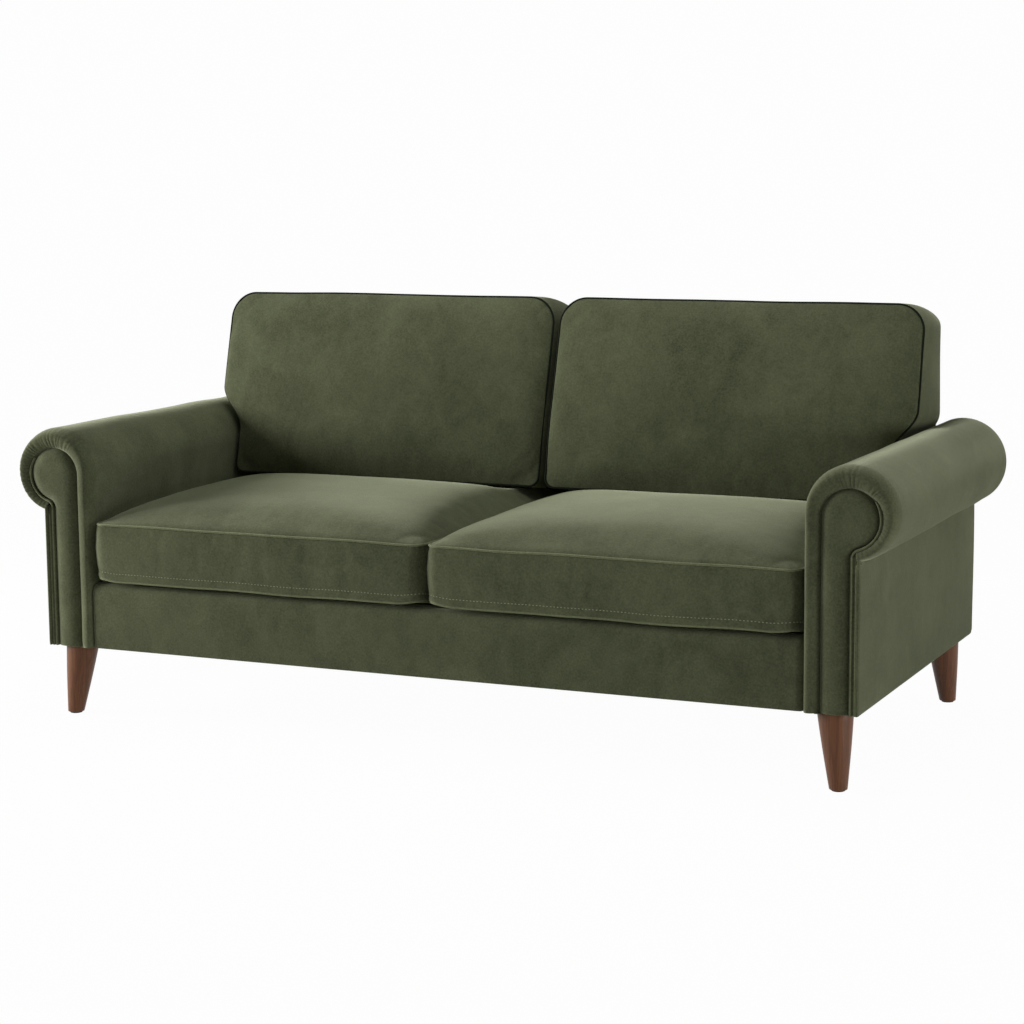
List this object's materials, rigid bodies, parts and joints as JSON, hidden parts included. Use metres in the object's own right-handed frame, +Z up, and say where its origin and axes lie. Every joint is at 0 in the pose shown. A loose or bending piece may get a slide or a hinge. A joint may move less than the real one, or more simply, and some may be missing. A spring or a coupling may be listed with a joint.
{
  "type": "two-seater sofa",
  "caption": "Velvet sofa for two with scroll arms, loose box seat and back cushions that lift out, a webbed timber frame and tapered, splayed walnut legs.",
  "frame": {"origin": "on the floor, under the middle of the sofa's plan", "axes": "+X to the right seen from the front, along the length of the seat; +Y to the back; +Z up"},
  "size_m": [1.94, 0.876, 0.878],
  "materials": {
    "velvet": "matte",
    "velvet_welt": "matte",
    "piping": "satin",
    "walnut": "satin",
    "timber": "matte",
    "plywood": "matte",
    "steel": "satin",
    "foam": "matte",
    "webbing": "matte",
    "lining": "matte",
    "glide": "matte"
  },
  "bodies": {
    "sofa_frame": {"front_rail": "timber", "back_rail": "timber", "end_rail_left": "timber", "end_rail_right": "timber", "centre_rail": "timber", "seat_back_rail": "timber", "back_post_left": "timber", "back_post_centre": "timber", "back_post_right": "timber", "back_top_rail": "timber", "arm_top_rail_left": "timber", "arm_top_rail_right": "timber", "arm_tack_rail_left": "timber", "arm_tack_rail_right": "timber", "leg_blocks": "timber", "arm_front_board_left": "plywood", "arm_front_board_right": "plywood", "arm_rear_board_left": "plywood", "arm_rear_board_right": "plywood", "arm_liner_left": "plywood", "arm_liner_right": "plywood", "arm_pad_left": "velvet", "arm_pad_right": "velvet", "arm_facing_left": "velvet", "arm_facing_right": "velvet", "arm_side_panel_left": "velvet", "arm_side_panel_right": "velvet", "arm_rear_panel_left": "velvet", "arm_rear_panel_right": "velvet", "front_rail_cover": "velvet", "inside_back_pad": "velvet", "outside_back_panel": "velvet", "arm_welts_left": "velvet_welt", "arm_welts_right": "velvet_welt", "leg_front_left": "walnut", "leg_front_right": "walnut", "leg_rear_left": "walnut", "leg_rear_right": "walnut", "leg_plates": "steel", "hanger_bolts": "steel", "tee_nuts": "steel", "foot_glides": "glide", "seat_webbing": "webbing", "back_webbing": "webbing", "deck_pad": "lining", "dust_cover": "lining"},
    "seat_cushion_left": {"seat_cover_left": "velvet", "seat_core_left": "foam"},
    "back_cushion_left": {"back_cover_left": "velvet", "back_core_left": "foam", "back_piping_left": "piping"},
    "seat_cushion_right": {"seat_cover_right": "velvet", "seat_core_right": "foam"},
    "back_cushion_right": {"back_cover_right": "velvet", "back_core_right": "foam", "back_piping_right": "piping"}
  },
  "joints": [
    {"name": "seat_left_pull", "type": "slide", "parent": "sofa_frame", "child": "seat_cushion_left", "axis": [0, -0.9994, 0.0349], "range_m": [0, 0.82]},
    {"name": "back_left_lift", "type": "slide", "parent": "sofa_frame", "child": "back_cushion_left", "axis": [0, 0, 1], "range_m": [0, 0.46]},
    {"name": "seat_right_pull", "type": "slide", "parent": "sofa_frame", "child": "seat_cushion_right", "axis": [0, -0.9994, 0.0349], "range_m": [0, 0.82]},
    {"name": "back_right_lift", "type": "slide", "parent": "sofa_frame", "child": "back_cushion_right", "axis": [0, 0, 1], "range_m": [0, 0.46]}
  ]
}
